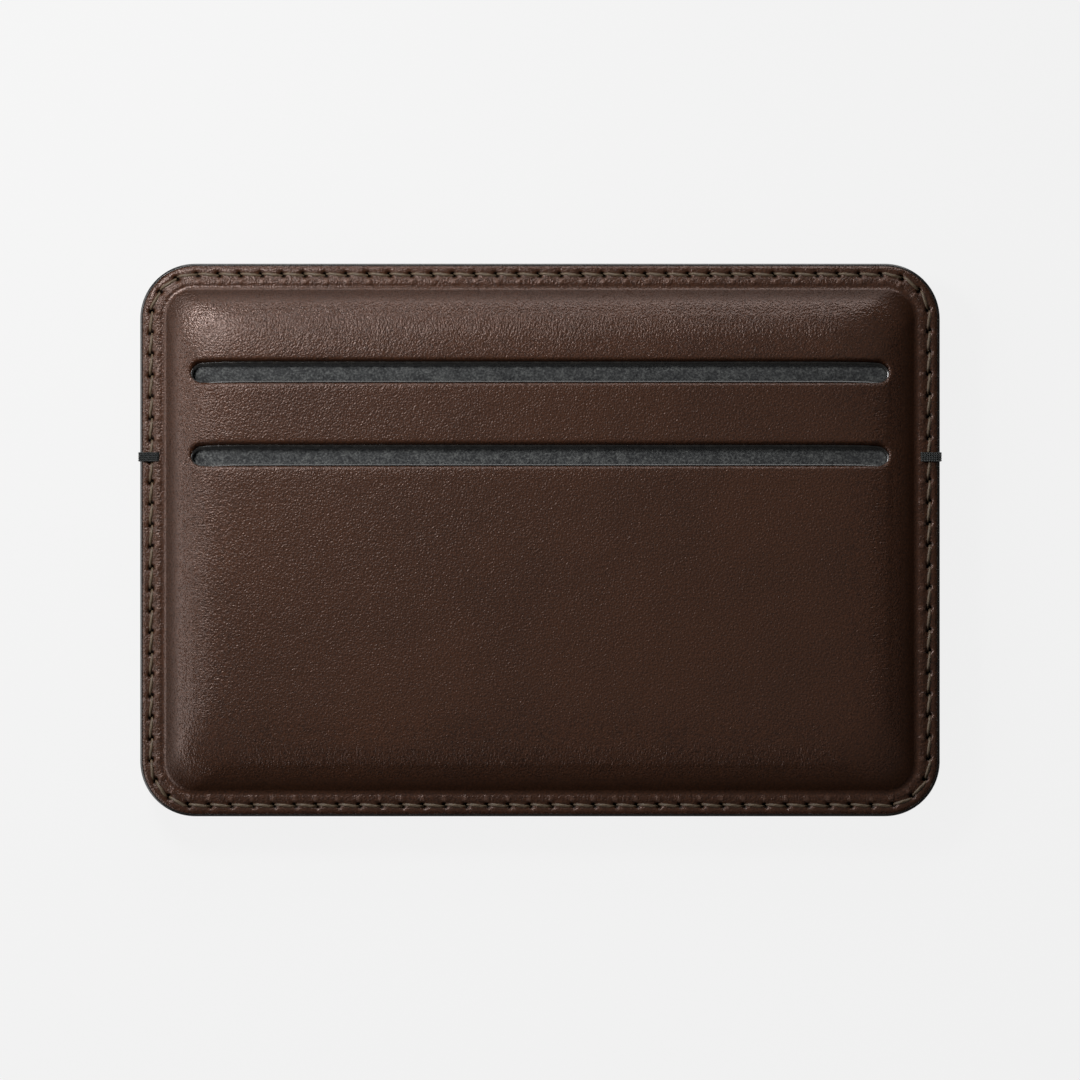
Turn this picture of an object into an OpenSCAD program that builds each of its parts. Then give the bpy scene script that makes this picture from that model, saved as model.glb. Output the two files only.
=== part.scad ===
// Slim leather card wallet: two moulded half shells, each with two card slots,
// sewn together round the bottom and sides. A bar tack on each side ends the
// joined seam. Above the tacks the halves part as the mouth of a centre pocket.
// The wallet lies on its back: X across, Y towards the mouth, Z out of the front.

/* [Cards] */
// Width of a bank card
card_w = 85.6; // [80:0.1:95]
// Thickness of a bank card
card_t = 0.76; // [0.5:0.01:1.2]
// Room for a card in the thickness of its pocket
card_room_t = 0.14; // [0.05:0.01:0.5]
// Room beside a card, at each side of its pocket
card_room_w = 2.35; // [1:0.05:4]

/* [Pockets] */
// Thickness of the microfibre wall behind a slot
wall_t = 0.4; // [0.25:0.05:0.8]
// Thickness of the microfibre lining of the centre pocket
lining_t = 0.5; // [0.3:0.05:0.8]
// Depth of the centre pocket, set by the welt in the seam
centre_gap = 0.6; // [0.4:0.1:2]
// Width of the frame round the pockets
rail_w = 1.6; // [1.2:0.1:3]
// Corner radius of the pockets
pocket_corner_r = 2; // [1:0.1:3]
// Bonded tab of a pocket wall, above its slot
tab_l = 3.6; // [2:0.1:4.5]

/* [Leather] */
// Thickness of the leather
leather_t = 1.1; // [0.8:0.05:1.4]
// Width of the flat sewn border
border_w = 3.2; // [2.8:0.1:5]
// Radius of the moulded shoulder
shoulder_r = 3.4; // [3:0.1:4.5]
// Radius of the crease at the foot of the shoulder
crease_r = 0.5; // [0.3:0.05:0.8]
// Plan radius of the corners of the raised flat
flat_corner_r = 0.5; // [0.2:0.05:4]
// Thickness of the paint on the outer edge
edge_paint_t = 0.3; // [0.2:0.05:0.5]
// How far the paint domes out
edge_paint_dome = 0.15; // [0.05:0.01:0.18]

/* [Slots] */
// Clear height of a slot
slot_h = 2.3; // [1.5:0.1:4]
// How far a slot ends inside its pocket, at each end
slot_end_inset = 0.95; // [0.5:0.05:2]
// Thickness of the paint on the edge of a slot
slot_paint_t = 0.25; // [0.15:0.05:0.4]
// From the pocket floor up to the middle of the lower slot
lower_reach = 40.25; // [30:0.05:60]
// Between the middles of the two slots
slot_pitch = 10.6; // [9:0.1:16]
// From the middle of the upper slot to the top edge
top_band = 13.8; // [13:0.1:20]

/* [Seam] */
// From the outer edge to the line of stitches
seam_inset = 1.4; // [1.2:0.05:1.6]
// Thickness of the seam thread
thread_d = 0.42; // [0.3:0.02:0.5]
// Distance from needle hole to needle hole
stitch_pitch = 2.72; // [2:0.02:4]
// Gap between the ends of two stitches
stitch_gap = 0.6; // [0.3:0.1:1]
// Slant of a stitch across the seam, in degrees
stitch_slant = 6; // [0:1:12]
// Where the row of stitches starts along the seam
stitch_phase = 0.3; // [0:0.1:2.7]

/* [Bar tacks] */
// How far the middle of a tack lies below the middle of the lower slot
tack_drop = 0.25; // [-2:0.05:4]
// How far a tack reaches in from the outer edge
tack_reach = 2.4; // [1.8:0.1:2.8]
// Number of turns of thread in a tack
tack_turns = 5; // [3:1:9]
// Thickness of the tack thread
tack_thread_d = 0.22; // [0.15:0.01:0.3]

/* [Clearances] */
// Between formed pieces that are bonded together
fit = 0.05; // [0.02:0.01:0.15]
// Between thread and what it lies on
thread_fit = 0.02; // [0.01:0.01:0.1]
// Parting of the front half where the leather flexes
flex_gap = 0.2; // [0.1:0.05:0.5]

/* [Hidden] */
$fn = 64;

leather_colour = "#3d2921";
microfibre_colour = "#45474a";
board_colour = "#2b2a29";
paint_colour = "#232221";
thread_colour = "#5a4536";
tack_colour = "#1b1c1d";

// Room for one card, and the rise of the leather over two cards and two walls
pocket_t = card_t + card_room_t;
rise = 2 * (pocket_t + wall_t);

// Width of the shoulder's arc from the flat down to the border, to the hundredth
shoulder_w = round(100 * sqrt(pow(shoulder_r, 2) - pow(shoulder_r - rise, 2))) / 100;

// Plan: the pocket sets the frame, the frame the shoulder, the shoulder the border
frame_bulge = shoulder_r - leather_t - fit;
edge_to_pocket = border_w + shoulder_w - frame_bulge + rail_w;
pocket_w = card_w + 2 * card_room_w;
wallet_w = pocket_w + 2 * edge_to_pocket;
wallet_h = edge_to_pocket + lower_reach + slot_pitch + top_band;
corner_r = flat_corner_r + shoulder_w + border_w;
flat_w = wallet_w - 2 * (border_w + shoulder_w);
flat_h = wallet_h - 2 * (border_w + shoulder_w);

upper_slot_y = wallet_h / 2 - top_band;
lower_slot_y = upper_slot_y - slot_pitch;
pocket_floor_y = lower_slot_y - lower_reach;
slot_l = pocket_w - 2 * slot_end_inset;

// Heights above the plane between the halves
lining_z = centre_gap / 2;
leather_z = lining_z + lining_t;
border_z = leather_z + leather_t;
top_z = border_z + rise;
wallet_t = 2 * top_z;
shoulder_z = top_z - shoulder_r;

// Crease: a round hollow that runs out on the border and on the shoulder at a slight angle
crease_angle = 15;
crease_depth = crease_r * cos(crease_angle);
crease_z = border_z + crease_depth;
crease_x = sqrt(pow(shoulder_r + crease_depth, 2) - pow(crease_z - shoulder_z, 2));
crease_top_z = shoulder_z + (crease_z - shoulder_z) * shoulder_r / (shoulder_r + crease_depth);

// Bar tacks, and the line above them where the front flexes
tack_w = tack_turns * (tack_thread_d + thread_fit);
tack_y = lower_slot_y - tack_drop;
mouth_y = tack_y + tack_w / 2 + flex_gap;

// Seam groove: as deep as the thread, and as wide as a slanted stitch, to the hundredth
stitch_l = stitch_pitch - stitch_gap;
groove_w = round(100 * (thread_d + stitch_l * sin(stitch_slant) + 2 * thread_fit)) / 100;
groove_depth = thread_d + 2 * thread_fit;

// Reach of a cut that passes right through
past = 1;

// Rounded rectangle about the origin
module round_rect(w, h, r) {
    square([w - 2 * r, h], center = true);
    square([w, h - 2 * r], center = true);
    for (x = [-1, 1], y = [-1, 1])
        translate([x * (w / 2 - r), y * (h / 2 - r)]) circle(r);
}

// Outline of the wallet, drawn in by a distance
module outline(inset) {
    round_rect(wallet_w - 2 * inset, wallet_h - 2 * inset, corner_r - inset);
}

// Long opening with round ends
module slot_outline(grow) {
    square([slot_l - slot_h, slot_h + 2 * grow], center = true);
    for (x = [-1, 1])
        translate([x * (slot_l - slot_h) / 2, 0]) circle(slot_h / 2 + grow);
}

// Outline of a pocket from its floor up to top_y, rounded at the floor
module pocket_outline(top_y, gap) {
    w = pocket_w - 2 * gap;
    floor_y = pocket_floor_y + gap;
    r = pocket_corner_r - gap;
    translate([-w / 2, floor_y + r]) square([w, top_y - floor_y - r]);
    translate([-w / 2 + r, floor_y]) square([w - 2 * r, r]);
    for (x = [-1, 1]) translate([x * (w / 2 - r), floor_y + r]) circle(r);
}

// Carries a profile round a rounded rectangle. The profile's x runs outward from
// the rectangle's edge, and its y becomes height.
module carry_round(w, h, r) {
    for (side = [0, 1], turn = [0, 180]) {
        along = side == 0 ? w - 2 * r : h - 2 * r;
        out = side == 0 ? h / 2 : w / 2;
        rotate(turn + 90 * side) translate([0, -out, 0]) rotate([90, 0, 90])
            linear_extrude(along, center = true) mirror([1, 0]) children();
    }
    for (x = [0, 1], y = [0, 1]) {
        start = y == 0 ? (x == 0 ? 180 : 270) : (x == 0 ? 90 : 0);
        translate([(2 * x - 1) * (w / 2 - r), (2 * y - 1) * (h / 2 - r), 0]) rotate(start)
            rotate_extrude(angle = 90) translate([r, 0]) children();
    }
}

// The moulded form: a flat top with round shoulders of a radius about the shoulder's
// centre line, then upright sides down to a height. The shoulders overlap the flat.
module moulded_form(radius, low_z) {
    full_h = shoulder_z + radius - low_z;
    overlap = flat_corner_r / 2;
    translate([0, 0, low_z]) linear_extrude(full_h) round_rect(flat_w, flat_h, flat_corner_r);
    carry_round(flat_w, flat_h, flat_corner_r) union() {
        translate([-overlap, low_z]) square([overlap, full_h]);
        translate([0, low_z]) square([radius, shoulder_z - low_z]);
        intersection() {
            translate([0, shoulder_z]) circle(radius);
            translate([0, shoulder_z]) square(radius);
        }
    }
}

// Leather that fills the foot of the shoulder down to the crease
module crease_fill() {
    low_z = leather_z + leather_t / 2;
    inner_x = shoulder_r - leather_t;
    carry_round(flat_w, flat_h, flat_corner_r) difference() {
        translate([inner_x, low_z]) square([crease_x - inner_x, crease_top_z - low_z]);
        translate([crease_x, crease_z]) circle(crease_r);
    }
}

// Keeps what lies above or below the line where the front half flexes
module flap_side() {
    intersection() {
        children();
        translate([-wallet_w, mouth_y + flex_gap / 2, -wallet_t])
            cube([2 * wallet_w, wallet_h, 2 * wallet_t]);
    }
}
module seat_side() {
    intersection() {
        children();
        translate([-wallet_w, mouth_y - flex_gap / 2 - wallet_h, -wallet_t])
            cube([2 * wallet_w, wallet_h, 2 * wallet_t]);
    }
}

// Moulded leather of one half, with its two slots and the groove for the seam
module cover() {
    color(leather_colour) difference() {
        union() {
            translate([0, 0, leather_z]) linear_extrude(leather_t) outline(edge_paint_t);
            moulded_form(shoulder_r, leather_z + leather_t / 2);
            crease_fill();
        }
        moulded_form(shoulder_r - leather_t, leather_z - past);
        for (y = [lower_slot_y, upper_slot_y])
            translate([0, y, border_z]) linear_extrude(rise + past) slot_outline(slot_paint_t);
        translate([0, 0, border_z - groove_depth]) linear_extrude(groove_depth + past) difference() {
            outline(seam_inset - groove_w / 2);
            outline(seam_inset + groove_w / 2);
        }
    }
}

// Stiff frame that holds the leather up and the walls of the pockets apart
module frame() {
    lip_y = upper_slot_y + slot_h / 2;
    color(board_colour) difference() {
        intersection() {
            moulded_form(frame_bulge, leather_z - past);
            translate([-wallet_w, -wallet_h, leather_z]) cube([2 * wallet_w, 2 * wallet_h, rise]);
        }
        translate([0, 0, leather_z - past]) linear_extrude(rise + 2 * past) pocket_outline(lip_y, 0);
        translate([0, 0, leather_z + rise - wall_t]) linear_extrude(wall_t + past)
            pocket_outline(lip_y + tab_l, 0);
    }
}

// Microfibre wall behind a slot. It is bonded under the leather above the slot,
// and falls away below the slot's upper lip to make room for a card.
module slot_wall(slot_y, drop) {
    lip_y = slot_y + slot_h / 2;
    high = leather_z + rise;
    low = high - drop;
    foot_y = lip_y - drop * slot_h / pocket_t;
    color(microfibre_colour) intersection() {
        rotate([90, 0, 90]) linear_extrude(wallet_w, center = true) polygon([
            [lip_y + tab_l, high], [lip_y, high], [foot_y, low], [-wallet_h, low],
            [-wallet_h, low - wall_t], [foot_y, low - wall_t], [lip_y, high - wall_t],
            [lip_y + tab_l, high - wall_t]]);
        linear_extrude(top_z) pocket_outline(lip_y + tab_l - fit, fit);
    }
}
module lower_slot_wall() slot_wall(lower_slot_y, pocket_t);
module upper_slot_wall() slot_wall(upper_slot_y, rise - wall_t);

// Microfibre that lines one side of the centre pocket
module lining() {
    color(microfibre_colour) translate([0, 0, lining_z]) linear_extrude(lining_t)
        outline(edge_paint_t);
}

// Coat of paint that seals the edge of the leather and the lining of one half,
// domed as it dries
module edge_paint() {
    h = leather_t + lining_t;
    dome_r = (pow(h / 2, 2) + pow(edge_paint_dome, 2)) / (2 * edge_paint_dome);
    color(paint_colour) translate([0, 0, lining_z])
        carry_round(wallet_w - 2 * edge_paint_t, wallet_h - 2 * edge_paint_t, corner_r - edge_paint_t)
            intersection() {
                square([edge_paint_t, h]);
                translate([edge_paint_t - dome_r, h / 2]) circle(dome_r);
            }
}

// Coat of paint on the cut edge of a slot
module slot_edging(slot_y) {
    color(paint_colour) translate([0, slot_y, leather_z + rise]) linear_extrude(leather_t) difference() {
        slot_outline(slot_paint_t);
        slot_outline(0);
    }
}

// Seam: place and heading of a stitch, by its distance along the seam from the
// left end of the top straight, clockwise
seam_w = wallet_w - 2 * seam_inset;
seam_h = wallet_h - 2 * seam_inset;
seam_r = corner_r - seam_inset;
seam_runs = [seam_w - 2 * seam_r, seam_h - 2 * seam_r];
quarter = seam_r * PI / 2;
seam_length = 2 * (seam_runs[0] + seam_runs[1]) + 4 * quarter;
stitch_count = round(seam_length / stitch_pitch);

// Each side is a straight and then the corner at its end
function side_length(side) = seam_runs[side % 2] + quarter;
function seam_place(s, side = 0) =
    s > side_length(side) && side < 3 ? seam_place(s - side_length(side), side + 1) :
    let (
        heading = -90 * side,
        run = seam_runs[side % 2],
        out = seam_runs[(side + 1) % 2] / 2 + seam_r,
        turned = max(0, s - run) / seam_r * 180 / PI,
        along = min(s, run) - run / 2 + seam_r * sin(turned),
        across = out - seam_r * (1 - cos(turned))
    )
    [along * cos(heading) - across * sin(heading), along * sin(heading) + across * cos(heading), heading - turned];

// One stitch: thread with round ends, lying along X
module stitch() {
    r = thread_d / 2;
    straight = stitch_l - thread_d;
    rotate([0, 90, 0]) rotate_extrude() intersection() {
        union() {
            translate([0, -straight / 2]) square([r, straight]);
            for (y = [-1, 1]) translate([0, y * straight / 2]) circle(r);
        }
        translate([0, -stitch_l]) square([r, 2 * stitch_l]);
    }
}

// Row of stitches in the groove of one half
module stitches() {
    color(thread_colour) for (i = [0 : stitch_count - 1]) {
        s = (i + 0.5) * seam_length / stitch_count + stitch_phase;
        place = seam_place(s % seam_length);
        translate([place[0], place[1], border_z - thread_d / 2 - thread_fit])
            rotate(place[2] - stitch_slant) stitch();
    }
}

// Strip sewn between the halves round the sides and bottom of the centre pocket
module pocket_welt() {
    color(microfibre_colour) seat_side() translate([0, 0, -centre_gap / 2]) linear_extrude(centre_gap)
        difference() {
            outline(edge_paint_t);
            outline(border_w);
        }
}

// Turns of thread that wrap the edge of both halves. Side is 1 at the right.
module bar_tack(side) {
    r = tack_thread_d / 2;
    half = [wallet_w / 2 + thread_fit + r, border_z + thread_fit + r];
    pitch = tack_thread_d + thread_fit;
    color(tack_colour) for (i = [0 : tack_turns - 1])
        translate([0, tack_y + (i - (tack_turns - 1) / 2) * pitch, 0]) intersection() {
            rotate([90, 0, 0]) carry_round(2 * half[0], 2 * half[1], 2 * r) circle(r);
            translate([side > 0 ? wallet_w / 2 - tack_reach : -wallet_w / 2 + tack_reach - wallet_w, -pitch, -wallet_t])
                cube([wallet_w, 2 * pitch, 2 * wallet_t]);
        }
}

// The back half is the front half turned over, and the wallet rests on it
module back() { translate([0, 0, top_z]) mirror([0, 0, 1]) children(); }
module front() { translate([0, 0, top_z]) children(); }
module flap() { front() flap_side() children(); }
module seat() { front() seat_side() children(); }

back() cover();  // back_cover
back() frame();  // back_frame
back() lower_slot_wall();  // back_lower_slot_wall
back() upper_slot_wall();  // back_upper_slot_wall
back() lining();  // back_lining
back() edge_paint();  // back_edge_paint
back() slot_edging(lower_slot_y);  // back_lower_slot_edging
back() slot_edging(upper_slot_y);  // back_upper_slot_edging
back() stitches();  // back_stitches
front() pocket_welt();
front() bar_tack(-1);  // left_bar_tack
front() bar_tack(1);  // right_bar_tack
seat() cover();  // front_cover
seat() frame();  // front_frame
seat() lower_slot_wall();  // front_lower_slot_wall
seat() upper_slot_wall();  // front_upper_slot_wall
seat() lining();  // front_lining
seat() edge_paint();  // front_edge_paint
seat() slot_edging(lower_slot_y);  // front_lower_slot_edging
seat() stitches();  // front_stitches
flap() cover();  // flap_cover
flap() frame();  // flap_frame
flap() lower_slot_wall();  // flap_lower_slot_wall
flap() upper_slot_wall();  // flap_upper_slot_wall
flap() lining();  // flap_lining
flap() edge_paint();  // flap_edge_paint
flap() slot_edging(lower_slot_y);  // flap_lower_slot_edging
flap() slot_edging(upper_slot_y);  // flap_upper_slot_edging
flap() stitches();  // flap_stitches
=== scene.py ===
# A slim card wallet of two moulded leather halves, sewn together round the sides and the
# bottom. It lies on its back: X runs across, Y towards the mouth, Z out of the front.
import math

import bpy
import numpy as np
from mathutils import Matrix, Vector
from mathutils.geometry import delaunay_2d_cdt


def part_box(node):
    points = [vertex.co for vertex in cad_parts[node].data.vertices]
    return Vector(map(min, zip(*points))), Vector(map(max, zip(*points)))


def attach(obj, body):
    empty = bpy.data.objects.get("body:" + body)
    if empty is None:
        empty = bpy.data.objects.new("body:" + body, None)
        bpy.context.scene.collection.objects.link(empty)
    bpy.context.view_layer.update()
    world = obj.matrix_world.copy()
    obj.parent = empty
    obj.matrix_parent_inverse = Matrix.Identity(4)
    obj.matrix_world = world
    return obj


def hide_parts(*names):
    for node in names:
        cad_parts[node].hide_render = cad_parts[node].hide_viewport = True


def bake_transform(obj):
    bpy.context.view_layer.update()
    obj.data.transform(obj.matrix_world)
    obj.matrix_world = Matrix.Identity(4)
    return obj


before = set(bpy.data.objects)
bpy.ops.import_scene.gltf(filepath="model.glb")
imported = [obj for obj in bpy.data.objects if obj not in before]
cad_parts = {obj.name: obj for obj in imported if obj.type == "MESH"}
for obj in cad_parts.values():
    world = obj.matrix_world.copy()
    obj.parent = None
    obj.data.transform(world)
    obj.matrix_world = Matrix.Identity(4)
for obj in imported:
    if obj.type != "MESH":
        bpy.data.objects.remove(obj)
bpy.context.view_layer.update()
MM = 0.001

# Camera. A long lens looks straight down, with the wallet in the middle of a square
# picture. The picture's width is taken at the height of the sewn border.
PICTURE_W = 137.7 * MM
CAMERA_HEIGHT = 1.0
SENSOR_W = 36.0
BORDER_Z = 6.4

camera_data = bpy.data.cameras.new("copy_stand_camera")
camera_data.sensor_width = SENSOR_W
camera_data.lens = SENSOR_W * CAMERA_HEIGHT / PICTURE_W
camera = bpy.data.objects.new("copy_stand_camera", camera_data)
camera.location = (0, 0, CAMERA_HEIGHT + BORDER_Z * MM)
bpy.context.scene.collection.objects.link(camera)
bpy.context.scene.camera = camera

# Frames. A ring of dark fibreboard fills each moulded half behind the leather, holds it up
# and keeps the pockets open. It is die cut, sanded round on its outer side and bonded in.
BOARD_DARK = (26, 25, 24)
BOARD_LIGHT = (58, 55, 52)
BOARD_FIBRES = 1800
FRAME_STEP = 1.2
POCKET_INSET = 5.87
POCKET_R = 5.5
POCKET_TOP_Y = 22.8
BEND_FROM_Y = 11.2
BEND_TO_Y = 18.2

# The outline of the wallet, and the line of its seam, which all the level lines follow
HALF = np.array(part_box("back_edge_paint")[1].xy) / MM
CORNER_R = 7.0
SEAM_INSET = 1.4
SEAM_R = CORNER_R - SEAM_INSET
SEAM_RUNS = 2 * (HALF - CORNER_R)
QUARTER = SEAM_R * math.pi / 2
SEAM_L = 2 * SEAM_RUNS.sum() + 4 * QUARTER
MID_Z = 4.5


def srgb(red, green, blue):
    """A colour, in 0 to 255, as the linear values that shaders take."""
    shares = [c / 255 for c in (red, green, blue)]
    return [c / 12.92 if c <= 0.04045 else ((c + 0.055) / 1.055) ** 2.4 for c in shares] + [1]


class Wire:
    """A socket of a node tree. Sums, differences and products of wires add Math nodes,
    and node() adds any other node and gives one of its outputs."""

    def __init__(self, tree, socket=None):
        self.tree = tree
        self.socket = socket

    def node(self, kind, output=0, inputs=None, stops=None, **settings):
        made = self.tree.nodes.new(kind)
        for name, value in settings.items():
            setattr(made, name, value)
        for place, (position, colour) in enumerate(stops or []):
            ramp = made.color_ramp.elements
            stop = ramp[place] if place < 2 else ramp.new(position)
            stop.position, stop.color = position, colour
        for name, value in (inputs or {}).items():
            if isinstance(value, Wire):
                self.tree.links.new(value.socket, made.inputs[name])
            else:
                made.inputs[name].default_value = value
        return Wire(self.tree, made.outputs[output])

    def maths(self, operation, *values):
        return self.node("ShaderNodeMath", operation=operation, inputs=dict(enumerate(values)))

    def __add__(self, other):
        return self.maths("ADD", self, other)

    def __sub__(self, other):
        return self.maths("SUBTRACT", self, other)

    def __rsub__(self, other):
        return self.maths("SUBTRACT", other, self)

    def __mul__(self, other):
        return self.maths("MULTIPLY", self, other)

    def __truediv__(self, other):
        return self.maths("DIVIDE", self, other)

    __radd__ = __add__
    __rmul__ = __mul__

    def between(self, low, high):
        """0 below low and 1 above high, with a smooth step between."""
        return self.node("ShaderNodeMapRange", interpolation_type="SMOOTHSTEP",
                         inputs={"Value": self, "From Min": low, "From Max": high})

    def mix(self, colour, other):
        """The first colour where this is 0, the other where it is 1."""
        return self.node("ShaderNodeMix", 2, {0: self, 6: colour, 7: other}, data_type="RGBA")

    def stretched(self, x, y, z):
        """This vector with each axis multiplied."""
        return self.node("ShaderNodeVectorMath", 0, {0: self, 1: (x, y, z)}, operation="MULTIPLY")

    def noise(self, scale, detail=2.0, roughness=0.5):
        return self.node("ShaderNodeTexNoise", 0, {"Vector": self, "Scale": scale,
                                                   "Detail": detail, "Roughness": roughness})

    def to(self, socket):
        self.tree.links.new(self.socket, socket)

    def raise_on(self, shader):
        """Raises the shader's surface by this many millimetres."""
        bump = self.node("ShaderNodeBump", 0, {"Height": self, "Distance": MM, "Strength": 1.0})
        bump.to(shader.inputs["Normal"])


def new_finish(name):
    """A new material, its shader and a loose wire in its tree."""
    finish = bpy.data.materials.new(name)
    finish.use_nodes = True
    return finish, finish.node_tree.nodes["Principled BSDF"], Wire(finish.node_tree)


board, shader, wire = new_finish("frame_board")
at = wire.node("ShaderNodeTexCoord", "Object")
fibres = at.stretched(1, 0.35, 1).noise(BOARD_FIBRES, 4.0, 0.65)
fibres.mix(srgb(*BOARD_DARK), srgb(*BOARD_LIGHT)).to(shader.inputs["Base Color"])
(0.75 + 0.15 * fibres).to(shader.inputs["Roughness"])
(0.03 * fibres).raise_on(shader)


def ring(places, inset, radius):
    """Points of the wallet's outline drawn in by inset, with its corners of some radius,
    one for each place along the seam, from the left of the top side clockwise."""
    points = []
    for place in places:
        side = 0
        while side < 3 and place > SEAM_RUNS[side % 2] + QUARTER:
            place -= SEAM_RUNS[side % 2] + QUARTER
            side += 1
        run = SEAM_RUNS[side % 2]
        half_run = HALF[side % 2] - inset - radius
        turn = max(0.0, place - run) / SEAM_R
        along = (2 * min(place, run) / run - 1) * half_run + radius * math.sin(turn)
        out = HALF[1 - side % 2] - inset - radius * (1 - math.cos(turn))
        points.append([(along, out), (out, -along), (-along, -out), (-out, along)][side])
    return np.array(points)


def strips(loops, closed=True):
    """Four-sided faces between neighbouring loops of point numbers."""
    faces = []
    for low, high in zip(loops, loops[1:]):
        n = len(low)
        for k in range(n if closed else n - 1):
            j = (k + 1) % n
            faces.append((low[k], low[j], high[j], high[k]))
    return faces


def new_piece(name, points, faces, finish):
    """A smooth mesh object with its faces turned outwards, from points in millimetres."""
    mesh = bpy.data.meshes.new(name)
    mesh.from_pydata([tuple(MM * c for c in p) for p in points], [], faces)
    mesh.materials.append(finish)
    mesh.polygons.foreach_set("use_smooth", [True] * len(mesh.polygons))
    piece = bpy.data.objects.new(name, mesh)
    bpy.context.scene.collection.objects.link(piece)
    bpy.context.view_layer.objects.active = piece
    bpy.ops.object.mode_set(mode="EDIT")
    bpy.ops.mesh.select_all(action="SELECT")
    bpy.ops.mesh.normals_make_consistent(inside=False)
    bpy.ops.object.mode_set(mode="OBJECT")
    return piece


def back_of(piece, name):
    """The same piece on the back half, which mirrors the front."""
    mesh = piece.data.copy()
    mesh.name = name
    for vertex in mesh.vertices:
        vertex.co.z = 2 * MID_Z * MM - vertex.co.z
    mesh.flip_normals()
    twin = bpy.data.objects.new(name, mesh)
    bpy.context.scene.collection.objects.link(twin)
    return twin


def flex(piece, slot, *nodes):
    """The piece crosses the line above the tacks where the front half bends open."""
    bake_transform(piece)
    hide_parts(*nodes)


def stay(piece, slot, *nodes):
    """The piece stays with the back half and the sewn lower part."""
    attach(piece, "wallet_body")
    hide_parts(*nodes)


# Inset, corner radius and height of the level lines of the frame's rounded outer side
frame_lines = ((4.26, 4.9, 5.33), (4.3, 4.95, 5.7), (4.55, 5.15, 6.26),
               (4.95, 5.5, 6.9), (5.52, 5.9, 7.4))
frame_places = np.arange(0, SEAM_L, FRAME_STEP)
points, rows = [], []
for inset, radius, z in frame_lines:
    rows.append(range(len(points), len(points) + len(frame_places)))
    points += [(x, y, z) for x, y in ring(frame_places, inset, radius)]
squeeze = (POCKET_TOP_Y - BEND_TO_Y) / (HALF[1] - POCKET_INSET - BEND_TO_Y)
for z in (frame_lines[-1][2], frame_lines[0][2]):
    rows.append(range(len(points), len(points) + len(frame_places)))
    points += [(x, min(y, BEND_TO_Y) + squeeze * max(0, y - BEND_TO_Y), z)
               for x, y in ring(frame_places, POCKET_INSET, POCKET_R)]
front_board = new_piece("front_board", points, strips([*rows, rows[0]]), board)
back_board = back_of(front_board, "back_board")
flex(front_board, "frame_board", "front_frame", "flap_frame")
stay(back_board, "frame_board", "back_frame")

# Linings. Two sheets of charcoal microfibre line the centre pocket, one bonded to the
# underside of each leather half and sewn in with its border.
FELT_DARK = (30, 31, 33)
FELT_MID = (69, 70, 71)
FELT_LIGHT = (131, 133, 131)
FELT_FUZZ = 3600
FELT_TUFTS = 900
EDGE_COAT = 0.3
EDGE_CLEAR = 0.02
LINING_STEP = 1.6

microfibre, shader, wire = new_finish("microfibre")
at = wire.node("ShaderNodeTexCoord", "Object")
fuzz = at.noise(FELT_FUZZ, 3.0, 0.75)
tufts = at.noise(FELT_TUFTS, 2.0, 0.6)
nap = 0.72 * fuzz + 0.28 * tufts
felt_stops = [(0.30, srgb(*FELT_DARK)), (0.72, srgb(*FELT_LIGHT)), (0.48, srgb(*FELT_MID))]
nap.node("ShaderNodeValToRGB", 0, {"Fac": nap}, felt_stops).to(shader.inputs["Base Color"])
(0.14 * nap).raise_on(shader)
shader.inputs["Roughness"].default_value = 0.95
shader.inputs["Specular IOR Level"].default_value = 0.2
shader.inputs["Sheen Weight"].default_value = 0.25
shader.inputs["Sheen Roughness"].default_value = 0.5


def web(points, loops, inner, kept):
    """Triangles across the outer loop of points, round the other loops and over the inner
    points, which are numbered on from the last point. kept says which middles stay."""
    known = [i for loop in loops for i in loop]
    plan = [Vector(points[i][:2]) for i in known] + [Vector(p) for p in inner]
    edges = []
    for loop in loops:
        first = len(edges)
        edges += [(first + k, first + (k + 1) % len(loop)) for k in range(len(loop))]
    spots, _, triangles, origin, _, _ = delaunay_2d_cdt(plan, edges, [], 1, 1e-7)
    number = known + [len(points) + k for k in range(len(inner))]
    middles = np.array([sum((spots[i] for i in t), Vector((0, 0))) / 3 for t in triangles])
    keep = kept(middles[:, 0], middles[:, 1])
    return [[number[origin[i][0]] for i in t] for t, k in zip(triangles, keep) if k]


lining_low_z, lining_high_z = (corner[2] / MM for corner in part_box("front_lining"))
rim = ring(np.arange(0, SEAM_L, LINING_STEP), EDGE_COAT + EDGE_CLEAR, CORNER_R - EDGE_COAT)
columns = np.arange(LINING_STEP - HALF[0], HALF[0] - 1, LINING_STEP)
rows = np.arange(LINING_STEP - HALF[1], HALF[1] - 1, LINING_STEP)
grid = [(x, y) for x in columns for y in rows
        if abs(x) < HALF[0] - CORNER_R or abs(y) < HALF[1] - CORNER_R]
n = len(rim)
flat_lining = [(x, y, lining_high_z) for x, y in rim]
upper_faces = web(flat_lining, [range(n)], grid, lambda x, y: x < HALF[0])
plan = [*map(tuple, rim), *grid]
points = [(x, y, z) for z in (lining_high_z, lining_low_z) for x, y in plan]
faces = upper_faces + [[i + len(plan) for i in reversed(f)] for f in upper_faces]
faces += strips([range(n), range(len(plan), len(plan) + n)])
front_lining = new_piece("front_pocket_lining", points, faces, microfibre)
back_lining = back_of(front_lining, "back_pocket_lining")
flex(front_lining, "microfibre", "front_lining", "flap_lining")
stay(back_lining, "microfibre", "back_lining")

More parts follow.
